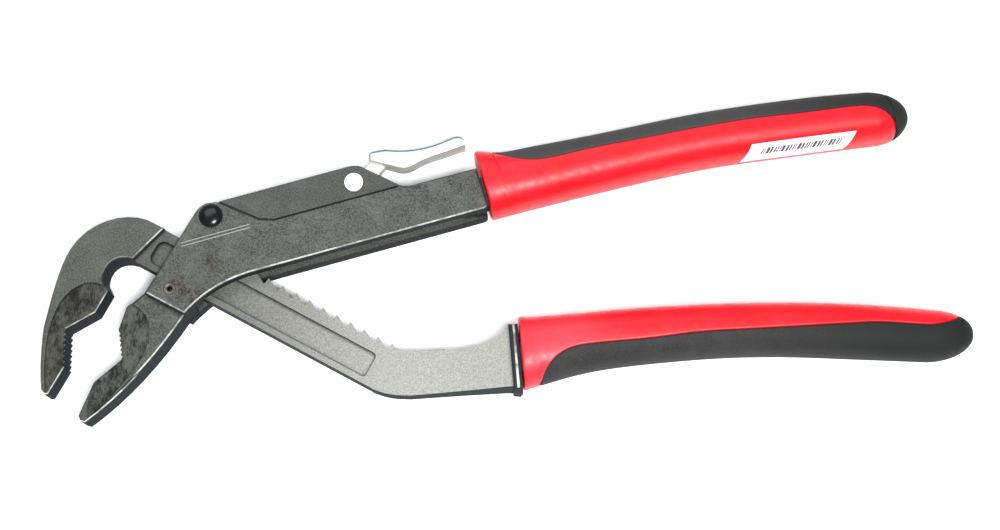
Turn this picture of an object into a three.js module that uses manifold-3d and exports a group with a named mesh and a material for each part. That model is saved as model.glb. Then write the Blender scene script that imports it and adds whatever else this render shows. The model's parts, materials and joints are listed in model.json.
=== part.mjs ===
// Tongue and groove pliers with a thumb release lever, lying flat.
// Units are millimetres and +Z is up. X runs from the jaws to the ends of the handles.
// The upper handle is one forging: two cheeks, the front jaw and a tang. The hook jaw, the toothed
// shank and the lower handle are a second forging, which passes between the cheeks.
import * as THREE from 'three';
import { mergeVertices } from 'three/addons/utils/BufferGeometryUtils.js';
import Module from 'manifold-3d';

const wasm = await Module();
wasm.setup();

// ---------------------------------------------------------------- driving dimensions

const MAIN_RIVET_X = -79.83; // the rivet's axis, measured from the middle of the whole tool
const MAIN_RIVET_Y = 9.27;
const UPPER_ANGLE = THREE.MathUtils.degToRad(16); // the upper handle's slope
const SHANK_ANGLE = THREE.MathUtils.degToRad(-28.3); // the slope of the shank

const MIDDLE_Z = 8.5; // half the thickness of the grips, so the tool lies on Z = 0
const GRIP_THICK = 17;
const BODY_THICK = 14.6; // over both cheeks
const SLOT_WIDE = 7.4; // between the cheeks
const SHANK_THICK = 6.6;
const HOOK_THICK = 9.2;
const FRONT_JAW_THICK = 9.6;
const TANG_THICK = 6;
const COLLAR_THICK = 14;

const GAP = 0.3; // between pieces that turn or slide on each other
const EDGE = 0.6; // the forgings' broken edges

const RIVET_RADIUS = 2.2;
const RIVET_HEAD_RADIUS = 3.1;
const GUIDE_PIN_AT = [-15.3, -16.3]; // on the upper handle, square below the rivet to the shank
const GUIDE_PIN_RADIUS = 1.6;
const SLEEVE_RADIUS = 2;
const LEVER_PIN_AT = [39.2, -1.3];
const LEVER_PIN_RADIUS = 2.5;
const STOP_PIN_AT = [10, 1.5];
const STOP_PIN_RADIUS = 1.1;

const SHANK_LOW = -19.8; // the shank's plain lower edge, measured square from the rivet
const RACK_CREST = -6.85;
const RACK_ROOT = -8.8;
const RACK_PITCH = 4.2;
const RACK_TEETH = 15;
const LAST_CREST = 59.2;
const GROOVE_TOP = -11.2;
const GROOVE_BOTTOM = -18.2;
const GROOVE_DEEP = 1.2;
const GROOVE_LEFT = -9.8;
const GROOVE_RIGHT = 57.1;
const GROUND_DEEP = 0.35; // of the jaws' ground working areas

const CUT_LOW = -2; // cutters that pass right through run from here
const CUT_HIGH = 20; // to here
const PIN_LONG = 14.8; // the guide pin and the lever pin, a little more than the body
const TURN_ROOM = 0.1; // around a pin that something turns on
const PANEL_DEEP = 0.6;
const PANEL_GROOVE_DEEP = 1.1;
const RIB_GROOVES_Y = [-4.95, -5.85];
const RIB_GROOVE_DEEP = 0.25;
const COLLAR_STEP = 1.2; // how far the collar stands over the handle on each face
const PAWL_THICK = 4.2;
const LEVER_WEB_THICK = 3.6;

const SPRING_WIRE = 0.35;
const TONGUE_THICK = 1;
const TONGUE_EYE = 3.3;
const TONGUE_HALF_LONG = 4.6;
const TONGUE_SWING_OPEN = THREE.MathUtils.degToRad(13);
const TONGUE_SWING_SHUT = THREE.MathUtils.degToRad(12);

const STEEL = { color: 0x84877f, roughness: 0.42, metalness: 0.9 };
const BRIGHT_STEEL = { color: 0xc9ccca, roughness: 0.25, metalness: 1 };
const DARK_STEEL = { color: 0x3a3b3a, roughness: 0.35, metalness: 0.9 };
const RED_PLASTIC = { color: 0xe01f30, roughness: 0.45, metalness: 0 };
const BLACK_RUBBER = { color: 0x3d3b3b, roughness: 0.8, metalness: 0 };
const WHITE_LABEL = { color: 0xe9e9e6, roughness: 0.6, metalness: 0 };

// ---------------------------------------------------------------- small tools

const above = (thick) => MIDDLE_Z + thick / 2;
const below = (thick) => MIDDLE_Z - thick / 2;

// A closed manifold solid from a three.js geometry.
function solid(geometry) {
  const bare = geometry.clone();
  bare.deleteAttribute('normal');
  bare.deleteAttribute('uv');
  const merged = mergeVertices(bare, 1e-4);
  return new wasm.Manifold(new wasm.Mesh({
    numProp: 3,
    vertProperties: Float32Array.from(merged.attributes.position.array),
    triVerts: Uint32Array.from(merged.index.array),
  }));
}

// A three.js geometry from a manifold solid.
function geometryOf(manifold) {
  const mesh = manifold.getMesh();
  const geometry = new THREE.BufferGeometry();
  geometry.setAttribute('position', new THREE.BufferAttribute(Float32Array.from(mesh.vertProperties), 3));
  geometry.setIndex(Array.from(mesh.triVerts));
  return geometry;
}

// An outline made thick in Z, with its edges broken or rounded.
function plate(shape, low, high, { edge = 0, rounds = 1, divisions = 8, turn = 0 } = {}) {
  const geometry = new THREE.ExtrudeGeometry(shape, {
    depth: high - low - 2 * edge,
    curveSegments: divisions,
    bevelEnabled: edge > 0,
    bevelThickness: edge,
    bevelSize: edge,
    bevelOffset: -edge,
    bevelSegments: rounds,
  });
  geometry.translate(0, 0, low + edge);
  geometry.rotateZ(turn);
  return solid(geometry);
}

// A round bar along Z.
function bar([x, y], radius, low, high, sides = 28) {
  const geometry = new THREE.CylinderGeometry(radius, radius, high - low, sides);
  geometry.rotateX(Math.PI / 2);
  geometry.translate(x, y, (low + high) / 2);
  return solid(geometry);
}

// A block between two corners.
function block([x0, y0, z0], [x1, y1, z1]) {
  const geometry = new THREE.BoxGeometry(x1 - x0, y1 - y0, z1 - z0);
  geometry.translate((x0 + x1) / 2, (y0 + y1) / 2, (z0 + z1) / 2);
  return solid(geometry);
}

const vectors = (points) => points.map(([x, y]) => new THREE.Vector2(x, y));

// An outline through its corner points, in order.
const outline = (points) => new THREE.Shape(vectors(points));

// The notches between saw teeth along a jaw face. The jaw lies to the left of the way from start to end.
function toothNotches([x0, y0], [x1, y1], count, deep) {
  const step = new THREE.Vector2(x1 - x0, y1 - y0).divideScalar(count);
  const inward = new THREE.Vector2(-step.y, step.x).normalize();
  const at = (along, depth) => [
    x0 + step.x * along + inward.x * depth, y0 + step.y * along + inward.y * depth,
  ];
  const valley = 0.35; // shares of a tooth's step
  const land = 0.9;
  let notches = null;
  for (let tooth = 0; tooth < count; tooth++) {
    const notch = plate(outline([
      at(tooth, -0.5), at(tooth, 0), at(tooth + valley, deep), at(tooth + land, 0), at(tooth + land, -0.5),
    ]), 0, GRIP_THICK);
    notches = notches ? notches.add(notch) : notch;
  }
  return notches;
}

function named(name, geometry, finish) {
  const mesh = new THREE.Mesh(geometry, new THREE.MeshStandardMaterial(finish));
  mesh.name = name;
  return mesh;
}

// A pin turned on a lathe about Z, with domed heads unless headHigh is 0.
function rivet([x, y], radius, headRadius, low, high, headHigh) {
  const profile = [new THREE.Vector2(0, low - headHigh)];
  const arcSteps = headHigh > 0 ? 5 : 0;
  for (let step = 1; step <= arcSteps; step++) {
    const angle = (step / arcSteps) * (Math.PI / 2);
    profile.push(new THREE.Vector2(headRadius * Math.sin(angle), low - headHigh * Math.cos(angle)));
  }
  profile.push(new THREE.Vector2(radius, low), new THREE.Vector2(radius, high));
  for (let step = arcSteps; step >= 1; step--) {
    const angle = (step / arcSteps) * (Math.PI / 2);
    profile.push(new THREE.Vector2(headRadius * Math.sin(angle), high + headHigh * Math.cos(angle)));
  }
  profile.push(new THREE.Vector2(0, high + headHigh));
  const geometry = new THREE.LatheGeometry(profile, 32);
  geometry.rotateX(Math.PI / 2); // carries the lathe's +Y to +Z
  geometry.translate(x, y, 0);
  return geometry;
}

// A wire bent along a smooth route.
function wire(points, steps) {
  const section = new THREE.Shape();
  section.absarc(0, 0, SPRING_WIRE, 0, Math.PI * 2);
  return new THREE.ExtrudeGeometry(section, {
    extrudePath: new THREE.CatmullRomCurve3(points.map((p) => new THREE.Vector3(...p)), false, 'centripetal'),
    steps,
    curveSegments: 6,
  });
}

// The turns of a torsion spring about Z, from one Z to another.
function coilTurns([x, y], radius, low, high, fromAngle, turns) {
  const points = [];
  const perTurn = 10;
  const count = Math.round(turns * perTurn);
  for (let i = 0; i <= count; i++) {
    const angle = fromAngle + (i / perTurn) * Math.PI * 2;
    const z = low + ((high - low) * i) / count;
    points.push([x + radius * Math.cos(angle), y + radius * Math.sin(angle), z]);
  }
  return points;
}

// ---------------------------------------------------------------- upper handle forging
// Its own axes: origin on the rivet, X along the handle, Y towards its back.

function cheekOutline() {
  const shape = new THREE.Shape();
  shape.moveTo(-22.0, -15.6);
  shape.lineTo(-13.2, -24.1);
  shape.bezierCurveTo(-8.5, -21.2, -3.5, -18.4, 6, -18);
  shape.lineTo(70.8, -18.2);
  shape.quadraticCurveTo(72.2, -18.2, 72.2, -16.8);
  shape.lineTo(72.0, -6.5);
  shape.lineTo(54.5, -6.3);
  shape.quadraticCurveTo(52.2, -6.3, 50.6, -5.1);
  shape.lineTo(42.6, 2.2);
  shape.quadraticCurveTo(41.2, 3.5, 38.5, 3.5);
  shape.lineTo(2.5, 3.6);
  shape.lineTo(-0.2, 4);
  shape.quadraticCurveTo(-2.2, 3.9, -4, 2.2);
  shape.lineTo(-12.5, -6.2);
  return shape;
}

function frontJawOutline() {
  const shape = new THREE.Shape();
  shape.moveTo(-18.7, -11.8);
  shape.lineTo(-22.4, -15.0);
  shape.lineTo(-26.2, -16.7);
  shape.quadraticCurveTo(-27.8, -16.9, -28.3, -18.1);
  shape.lineTo(-31.2, -22.6);
  shape.lineTo(-32.4, -30.8);
  shape.lineTo(-34.1, -31.6);
  shape.lineTo(-40.7, -34.7);
  shape.lineTo(-46.7, -42.4);
  shape.lineTo(-46.5, -43.7);
  shape.lineTo(-45.3, -44.4);
  shape.quadraticCurveTo(-29, -38, -12.6, -23.2);
  shape.lineTo(-10.4, -22.2);
  shape.lineTo(-14.5, -14.9);
  return shape;
}

const upperTang = outline([
  [60, -8.4], [72.2, -8.2], [95, -8.4], [130, -10.2], [172, -17],
  [171, -22], [130, -17.4], [95, -15.8], [72.2, -16.4], [66, -16.4],
]);

// The strip along the back of each cheek lies a little below its face.
const backPanel = outline([
  [1.6, 5], [2.6, 3], [12, -4.6], [16, -5.9], [50.4, -6], [56, -8], [56, 5],
]);

// A narrow groove along the foot of that step.
const panelGroove = outline([
  [1.9, 3.5], [2.6, 3], [12, -4.6], [16, -5.9], [50.4, -6],
  [50.4, -5.3], [16.2, -5.2], [12.5, -4.0], [3.1, 3.6], [2.4, 4.1],
]);

// A tongue plate's outline on the shank's axes: an eye on the rivet and an arm down to the groove.
function tongueArm(grow = 0) {
  const shape = new THREE.Shape();
  const half = TONGUE_HALF_LONG + grow;
  shape.absarc(0, 0, TONGUE_EYE + grow, 0, Math.PI);
  shape.lineTo(-half, -14);
  shape.lineTo(-half, GROOVE_BOTTOM + GAP - grow);
  shape.lineTo(half, GROOVE_BOTTOM + GAP - grow);
  shape.lineTo(half, -14);
  return shape;
}

// Space for a tongue plate to swing in the inner face of a cheek.
function tonguePocket(low, high) {
  const steps = 3;
  let pocket = null;
  for (let step = 0; step <= steps; step++) {
    const swing = THREE.MathUtils.lerp(-TONGUE_SWING_OPEN, TONGUE_SWING_SHUT, step / steps);
    const turn = SHANK_ANGLE - UPPER_ANGLE + swing;
    const cut = plate(tongueArm(0.6), low, high, { divisions: 3, turn });
    pocket = pocket ? pocket.add(cut) : cut;
  }
  return pocket;
}

function frameForging() {
  const blank = plate(frontJawOutline(), below(FRONT_JAW_THICK), above(FRONT_JAW_THICK), { edge: EDGE })
    .subtract(toothNotches([-31.3, -23.2], [-32.4, -30.8], 6, 0.5));
  const jaw = groundOff(blank, frontGroundArea(), FRONT_JAW_THICK);
  const tang = plate(upperTang, below(TANG_THICK), above(TANG_THICK));
  const slotLow = below(SLOT_WIDE);
  const slotHigh = above(SLOT_WIDE);
  let front = plate(cheekOutline(), slotHigh, above(BODY_THICK), { edge: EDGE });
  let rear = plate(cheekOutline(), below(BODY_THICK), slotLow, { edge: EDGE });
  const pocketDeep = TONGUE_THICK + TURN_ROOM;
  front = front.subtract(tonguePocket(slotHigh - 1, slotHigh + pocketDeep));
  rear = rear.subtract(tonguePocket(slotLow - pocketDeep, slotLow + 1));
  // the tang swells to join the cheeks just inside the grip
  const root = plate(outline([[69.2, -7.6], [72, -7.6], [72, -17], [69.2, -17]]), slotLow - 1, slotHigh + 1);
  let forging = front.add(rear).add(jaw).add(tang).add(root);
  const top = above(BODY_THICK);
  const bottom = below(BODY_THICK);
  for (const [shape, deep] of [[backPanel, PANEL_DEEP], [panelGroove, PANEL_GROOVE_DEEP]]) {
    forging = forging
      .subtract(plate(shape, top - deep, top + 1))
      .subtract(plate(shape, bottom - 1, bottom + deep));
  }
  for (const lineY of RIB_GROOVES_Y) {
    const low = [-9.6, lineY - 0.2, top - RIB_GROOVE_DEEP];
    forging = forging.subtract(block(low, [9.4, lineY + 0.2, top + 1]));
  }
  const pressRoom = 0.05;
  const stopBlind = 1.6; // how deep the stop pin's blind hole goes into each cheek
  return forging
    .subtract(bar([0, 0], RIVET_RADIUS + TURN_ROOM, CUT_LOW, CUT_HIGH))
    .subtract(bar(GUIDE_PIN_AT, GUIDE_PIN_RADIUS + pressRoom, CUT_LOW, CUT_HIGH))
    .subtract(bar(GUIDE_PIN_AT, SLEEVE_RADIUS + 0.7, slotLow, slotHigh))
    .subtract(bar(LEVER_PIN_AT, LEVER_PIN_RADIUS + 0.15, CUT_LOW, CUT_HIGH))
    .subtract(bar(STOP_PIN_AT, STOP_PIN_RADIUS + pressRoom, slotLow - stopBlind, slotHigh + stopBlind));
}

// ---------------------------------------------------------------- hook jaw forging
// Its own axes: origin on the rivet, X along the shank, Y square to it.

function hookHeadOutline() {
  const shape = new THREE.Shape();
  shape.moveTo(-10.1, -8.4);
  shape.lineTo(-15.5, -8.5);
  shape.bezierCurveTo(-22.5, -9.6, -29.4, -16.5, -29.5, -25.5);
  shape.bezierCurveTo(-29.4, -31.5, -26.8, -39.5, -24.4, -47);
  shape.quadraticCurveTo(-21.4, -54, -16.2, -61.6);
  shape.lineTo(-14.8, -62.2);
  shape.lineTo(-14.0, -61.6);
  shape.lineTo(-14.0, -53.4);
  shape.lineTo(-19.0, -44.3);
  shape.lineTo(-14.5, -36.9);
  shape.lineTo(-14.6, -30.1);
  shape.lineTo(-17.2, -28.4);
  shape.bezierCurveTo(-19.4, -24.5, -17.6, -20.6, -13.1, SHANK_LOW);
  return shape;
}

function shankOutline() {
  const shape = new THREE.Shape();
  shape.moveTo(-16, -12);
  shape.lineTo(-14, -8.5);
  for (let tooth = RACK_TEETH - 1; tooth >= 0; tooth--) {
    const crest = LAST_CREST - tooth * RACK_PITCH;
    shape.lineTo(crest - 0.85, RACK_ROOT + 0.16);
    shape.lineTo(crest - 0.6, RACK_ROOT);
    shape.lineTo(crest - 0.38, RACK_ROOT + 0.2);
    shape.lineTo(crest - 0.12, RACK_CREST - 0.12);
    shape.lineTo(crest, RACK_CREST);
  }
  shape.lineTo(60.4, -7.3);
  shape.quadraticCurveTo(62.5, -7.2, 64.2, -6.2);
  shape.lineTo(72, -1.5);
  shape.lineTo(76, -12);
  shape.lineTo(71.4, -15.7);
  shape.quadraticCurveTo(65.2, -19.9, 59.8, SHANK_LOW);
  shape.lineTo(-13.1, SHANK_LOW);
  return shape;
}

// The lower handle's outline is drawn on the tool's own axes, from the rivet.
function lowerHandleOutline() {
  const shape = new THREE.Shape();
  shape.moveTo(51.6, -35.6);
  shape.quadraticCurveTo(64, -36.4, 73, -34.5);
  shape.bezierCurveTo(76.4, -33.6, 78.4, -31.6, 79.1, -28.9);
  shape.lineTo(80.3, -29.2);
  shape.lineTo(81.6, -45.8);
  shape.lineTo(79, -45.9);
  shape.lineTo(53.8, -47.9);
  shape.quadraticCurveTo(48, -47.9, 43.6, -46.1);
  return shape;
}

const lowerTang = outline([
  [78, -34.5], [91, -31.5], [110, -28.8], [140, -26.4], [184, -27.4],
  [184, -32.6], [140, -33.2], [110, -35.6], [91, -39.6], [78, -42.5],
]);

// Side view of the lower handle, which swells from the shank's thickness to the collar's.
function handleSwell() {
  const shape = new THREE.Shape();
  const endThick = COLLAR_THICK - 2 * COLLAR_STEP;
  shape.moveTo(40, below(SHANK_THICK));
  shape.lineTo(54, below(SHANK_THICK));
  shape.quadraticCurveTo(66, below(SHANK_THICK), 82, below(endThick));
  shape.lineTo(82, above(endThick));
  shape.quadraticCurveTo(66, above(SHANK_THICK), 54, above(SHANK_THICK));
  shape.lineTo(40, above(SHANK_THICK));
  const geometry = new THREE.ExtrudeGeometry(shape, { depth: 40, bevelEnabled: false, curveSegments: 6 });
  // drawn in X and Z, then stood up: its depth runs towards -Y
  geometry.rotateX(Math.PI / 2);
  geometry.translate(0, -20, 0);
  geometry.rotateZ(-SHANK_ANGLE);
  return solid(geometry);
}

const collar = outline([
  [79.7, -29.4], [82.05, -29.2], [83.65, -46.0], [83.0, -46.7], [81.1, -46.5],
]);

// The ground working area of each jaw lies a little below the forging's skin, on both faces.
function hookGroundArea() {
  const shape = new THREE.Shape();
  shape.moveTo(-8, -29.4);
  shape.lineTo(-14.6, -29.9);
  shape.bezierCurveTo(-19.5, -28.4, -23.6, -33, -24, -38.4);
  shape.quadraticCurveTo(-24.2, -43, -21.8, -49.4);
  shape.quadraticCurveTo(-19.4, -55, -15.2, -61);
  shape.lineTo(-13, -64);
  shape.lineTo(-8, -64);
  return shape;
}

function frontGroundArea() {
  const shape = new THREE.Shape();
  shape.moveTo(-27.6, -16.2);
  shape.bezierCurveTo(-21.4, -19.2, -21.6, -26.6, -27.6, -32.6);
  shape.quadraticCurveTo(-32.4, -37.4, -45.8, -45.2);
  shape.lineTo(-50, -44);
  shape.lineTo(-36, -16);
  return shape;
}

function groundOff(forging, area, thick) {
  return forging
    .subtract(plate(area, above(thick) - GROUND_DEEP, above(thick) + 1))
    .subtract(plate(area, below(thick) - 1, below(thick) + GROUND_DEEP));
}

// The key slot in each face of the shank, with rounder corners at the jaw's end.
function grooveOutline() {
  const shape = new THREE.Shape();
  const round = 2.2;
  const centreX = GROOVE_LEFT + round;
  shape.moveTo(GROOVE_RIGHT - 2, GROOVE_TOP);
  shape.lineTo(centreX, GROOVE_TOP);
  shape.absarc(centreX, GROOVE_TOP - round, round, Math.PI / 2, Math.PI);
  shape.absarc(centreX, GROOVE_BOTTOM + round, round, Math.PI, Math.PI * 1.5);
  shape.lineTo(GROOVE_RIGHT - 1, GROOVE_BOTTOM);
  shape.quadraticCurveTo(GROOVE_RIGHT, GROOVE_BOTTOM, GROOVE_RIGHT, GROOVE_BOTTOM + 1);
  shape.lineTo(GROOVE_RIGHT, GROOVE_TOP - 1.4);
  shape.quadraticCurveTo(GROOVE_RIGHT, GROOVE_TOP, GROOVE_RIGHT - 1.4, GROOVE_TOP);
  return shape;
}

function hookForging() {
  const turn = -SHANK_ANGLE;
  const blank = plate(hookHeadOutline(), below(HOOK_THICK), above(HOOK_THICK), { edge: EDGE })
    .subtract(toothNotches([-14.0, -53.4], [-19.0, -44.3], 7, 0.6));
  const head = groundOff(blank, hookGroundArea(), HOOK_THICK);
  let shank = plate(shankOutline(), below(SHANK_THICK), above(SHANK_THICK));
  const handle = plate(lowerHandleOutline(), below(COLLAR_THICK), above(COLLAR_THICK), { turn });
  const tang = plate(lowerTang, below(TANG_THICK), above(TANG_THICK), { turn });
  const ring = plate(collar, below(COLLAR_THICK), above(COLLAR_THICK), { turn, edge: 0.7, rounds: 2 });
  const top = above(SHANK_THICK);
  const bottom = below(SHANK_THICK);
  shank = shank.add(handle.intersect(handleSwell()))
    .subtract(plate(grooveOutline(), top - GROOVE_DEEP, CUT_HIGH))
    .subtract(plate(grooveOutline(), CUT_LOW, bottom + GROOVE_DEEP));
  return shank.add(head).add(tang).add(ring);
}

// ---------------------------------------------------------------- tongues, pawl and lever

// A plate that hangs on the rivet and fills the shank's groove with its key.
function tongue(side) {
  const room = 0.2; // to the cheek's inner face and to the groove's floor
  const face = SLOT_WIDE / 2 - room;
  const keyReach = SHANK_THICK / 2 - GROOVE_DEEP + room;
  const zs = (a, b) => [MIDDLE_Z + side * a, MIDDLE_Z + side * b].sort((p, q) => p - q);
  const half = TONGUE_HALF_LONG;
  const key = outline([
    [-half, GROOVE_BOTTOM + GAP], [half, GROOVE_BOTTOM + GAP],
    [half, GROOVE_TOP - GAP], [-half, GROOVE_TOP - GAP],
  ]);
  const hole = bar([0, 0], RIVET_RADIUS + TURN_ROOM, CUT_LOW, CUT_HIGH);
  return plate(tongueArm(), ...zs(face, face + TONGUE_THICK))
    .add(plate(key, ...zs(keyReach, face)))
    .subtract(hole);
}

function pawlBody() {
  const shape = new THREE.Shape();
  const eye = 3.4;
  shape.moveTo(-eye, 0);
  shape.absarc(0, 0, eye, Math.PI, Math.PI * 1.6);
  shape.lineTo(7.6, -5.6);
  // two teeth, cut back from the rack's steep flanks so that they swing out freely
  for (const tooth of [11, 10]) {
    const crest = LAST_CREST - tooth * RACK_PITCH;
    shape.lineTo(crest - 1.2, RACK_ROOT + 0.7);
    shape.lineTo(crest - 0.95, RACK_CREST + 0.4);
  }
  shape.lineTo(18.2, -4.4);
  shape.lineTo(18.6, 3);
  shape.lineTo(17.6, 9.4);
  shape.quadraticCurveTo(16.4, 11.2, 14.6, 9.4);
  shape.lineTo(9, 2.2);
  shape.lineTo(3.3, 1.0);
  shape.absarc(0, 0, eye, Math.PI * 0.1, Math.PI);
  const low = below(SHANK_THICK);
  return plate(shape, low, low + PAWL_THICK)
    .subtract(bar([0, 0], RIVET_RADIUS + TURN_ROOM, CUT_LOW, CUT_HIGH));
}

function leverBody() {
  const [pinX, pinY] = LEVER_PIN_AT;
  const pad = new THREE.Shape();
  pad.moveTo(44.9, 4.7);
  pad.quadraticCurveTo(44.5, 6.9, 46.4, 7.1);
  pad.lineTo(49.8, 6.8);
  pad.bezierCurveTo(54, 5.0, 60, 3.4, 67.5, 4.9);
  pad.quadraticCurveTo(71.2, 5.6, 71.4, 3.2);
  pad.lineTo(71.2, 1.7);
  pad.lineTo(63.8, 1.3);
  pad.quadraticCurveTo(59.5, 1.2, 56.5, 0.3);
  pad.quadraticCurveTo(54.2, -0.4, 52.3, 0.5);
  const web = new THREE.Shape();
  web.moveTo(pinX, pinY + 3.6);
  web.quadraticCurveTo(42.6, 3.4, 45.8, 5.6);
  web.lineTo(49.6, 5.0);
  web.lineTo(49.2, 3);
  web.quadraticCurveTo(46.2, 1.6, 44, -1.6);
  web.quadraticCurveTo(42.6, -4.6, pinX + 1, pinY - 3.5);
  web.absarc(pinX, pinY, 3.6, -Math.PI * 0.42, -Math.PI * 0.62, true);
  web.lineTo(31.6, -3.4);
  web.quadraticCurveTo(30.2, -2.2, 31.6, -0.9);
  const low = below(SHANK_THICK);
  return plate(pad, low, above(SHANK_THICK), { edge: 0.8, rounds: 2 })
    .add(plate(web, low, low + LEVER_WEB_THICK))
    .subtract(bar(LEVER_PIN_AT, LEVER_PIN_RADIUS + TURN_ROOM, CUT_LOW, CUT_HIGH));
}

// Coil on the lever pin. One leg lies over the lever's web and the long one reaches the pawl's tail.
function leverSpring() {
  const [x, y] = LEVER_PIN_AT;
  const radius = 3.2;
  const turns = coilTurns(LEVER_PIN_AT, radius, 9.3, 11.65, Math.PI / 2, 3);
  const leg = [[45.6, y + 2.7, 9.3], [43, y + 3, 9.3]];
  const reach = [[x - 5, y + radius - 0.2, 11.6], [28, -0.6, 11.2], [19.8, -4, 10.4]];
  return wire([...leg, ...turns, ...reach], 72);
}

// Coil on the rivet. One leg holds the pawl's nose down and the other bears under the stop pin.
function pawlSpring() {
  const [x, y] = STOP_PIN_AT;
  const turns = coilTurns([0, 0], 2.9, 9.85, 11.55, -Math.PI * 0.1, 1.8);
  const under = y - STOP_PIN_RADIUS - SPRING_WIRE - 0.15;
  const leg = [[4.7, -8.8, 9.85], [3.4, -4, 9.85]];
  const end = [[5, -2.7, 11.55], [x - 3, under - 0.2, 11.5], [x + 1.6, under, 11.5]];
  return wire([...leg, ...turns, ...end], 48);
}

// ---------------------------------------------------------------- grips

// A grip's two edges, seen from above: a long curve each, then a round that meets the other at the end.
const upperGripEdges = {
  back: vectors([
    [66, -0.6], [74.6, -0.7], [80, -2.6], [90, -3.5], [107, -4.9], [136, -6.9], [164, -10.6], [181, -13.8],
  ]),
  backEnd: vectors([[181, -13.8], [187.5, -15.6], [190.6, -19.4], [190.6, -22.4]]),
  front: vectors([[64, -19.8], [80, -19.6], [103, -20.1], [132, -21.5], [157, -24.7], [181, -28.2]]),
  frontEnd: vectors([[181, -28.2], [187, -28.9], [190.6, -26.2], [190.6, -22.4]]),
};
const lowerGripEdges = {
  back: vectors([[72, -27], [91, -26.0], [117, -23.8], [145, -22.6], [171, -22.9], [194, -24.7]]),
  backEnd: vectors([[194, -24.7], [200.4, -25.4], [203.7, -27.8], [203.7, -31.2]]),
  front: vectors([
    [72, -50], [86, -45.2], [104, -40.4], [131, -37.4], [152, -36.7], [174, -37.4], [192, -38.1],
  ]),
  frontEnd: vectors([[192, -38.1], [199, -37.8], [203.7, -35], [203.7, -31.2]]),
};
const GRIP_STATIONS = 15;
const GRIP_END_STATIONS = 6;
const GRIP_RING = 24;
const GRIP_SQUARENESS = 2.5; // 2 is an ellipse, more is squarer
const GRIP_END_FULLNESS = 0.8; // below 1, the end stays thick for longer than it stays deep
const PARTING = 0.15; // half the gap between a grip's two materials

// A rounded handle: rings of a squared ellipse between the two edges, closed by a point at the far end.
function gripBody({ back, backEnd, front, frontEnd }, grow = 0) {
  const backCurve = new THREE.SplineCurve(back);
  const frontCurve = new THREE.SplineCurve(front);
  const backRound = new THREE.CubicBezierCurve(...backEnd);
  const frontRound = new THREE.CubicBezierCurve(...frontEnd);
  const pairs = [];
  for (let i = 0; i <= GRIP_STATIONS; i++) {
    const t = i / GRIP_STATIONS;
    pairs.push([backCurve.getPointAt(t), frontCurve.getPointAt(t)]);
  }
  for (let i = 1; i < GRIP_END_STATIONS; i++) {
    const t = Math.sin((i / GRIP_END_STATIONS) * (Math.PI / 2));
    pairs.push([backRound.getPoint(t), frontRound.getPoint(t)]);
  }
  const fullDepth = pairs[GRIP_STATIONS][0].distanceTo(pairs[GRIP_STATIONS][1]);
  const squared = (value) => Math.sign(value) * Math.abs(value) ** (2 / GRIP_SQUARENESS);
  const positions = [];
  pairs.forEach(([a, b], station) => {
    const centre = a.clone().add(b).multiplyScalar(0.5);
    const half = a.clone().sub(centre);
    half.setLength(half.length() + grow);
    const rounding = station > GRIP_STATIONS ? (a.distanceTo(b) / fullDepth) ** GRIP_END_FULLNESS : 1;
    const halfThick = (GRIP_THICK / 2) * rounding + grow;
    for (let i = 0; i < GRIP_RING; i++) {
      const angle = (i / GRIP_RING) * Math.PI * 2;
      const across = squared(Math.cos(angle));
      const up = squared(Math.sin(angle));
      positions.push(centre.x + half.x * across, centre.y + half.y * across, MIDDLE_Z + halfThick * up);
    }
  });
  const first = pairs[0][0].clone().add(pairs[0][1]).multiplyScalar(0.5);
  const startPole = positions.length / 3;
  positions.push(first.x, first.y, MIDDLE_Z);
  const endPole = startPole + 1;
  positions.push(backEnd[3].x + grow, backEnd[3].y, MIDDLE_Z);
  const index = [];
  for (let i = 0; i < GRIP_RING; i++) {
    const next = (i + 1) % GRIP_RING;
    index.push(startPole, next, i);
    for (let station = 0; station < pairs.length - 1; station++) {
      const here = station * GRIP_RING;
      const there = here + GRIP_RING;
      index.push(here + i, here + next, there + next, here + i, there + next, there + i);
    }
    const last = (pairs.length - 1) * GRIP_RING;
    index.push(endPole, last + i, last + next);
  }
  const geometry = new THREE.BufferGeometry();
  geometry.setAttribute('position', new THREE.BufferAttribute(Float32Array.from(positions), 3));
  geometry.setIndex(index);
  return solid(geometry);
}

// The outer, soft side of the upper grip lies above this line and round the end.
function upperSoftSide(grow) {
  const shape = new THREE.Shape();
  shape.moveTo(78.2 - grow, 4);
  shape.lineTo(78.2 - grow, -3.2 - grow);
  shape.bezierCurveTo(83, -7.6 - grow, 88, -9.2 - grow, 96, -9.6 - grow);
  shape.splineThru(vectors([[120, -11.2 - grow], [147, -13.8 - grow], [176, -18.3 - grow]]));
  shape.bezierCurveTo(183, -19.8 - grow, 186.4 - grow, -23.4, 185.4 - grow, -28);
  shape.lineTo(184.6 - grow, -34);
  shape.lineTo(196, -34);
  shape.lineTo(196, 4);
  return shape;
}

// The outer, soft side of the lower grip lies below this line and round the end.
function lowerSoftSide(grow) {
  const shape = new THREE.Shape();
  shape.moveTo(86.8 - grow, -56);
  shape.lineTo(87.2 - grow, -46);
  shape.bezierCurveTo(88.4 - grow, -41, 91, -36.4 + grow, 98.5, -35.4 + grow);
  shape.splineThru(vectors([[117, -33.4 + grow], [143, -31 + grow], [175, -29.1 + grow]]));
  shape.bezierCurveTo(186, -28.8 + grow, 193, -30.6 + grow, 198.4 - grow, -27.6);
  shape.lineTo(201 - grow, -20);
  shape.lineTo(212, -20);
  shape.lineTo(212, -56);
  return shape;
}

const tangHole = (shape) => plate(shape, below(TANG_THICK + 2 * GAP), above(TANG_THICK + 2 * GAP));

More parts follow.
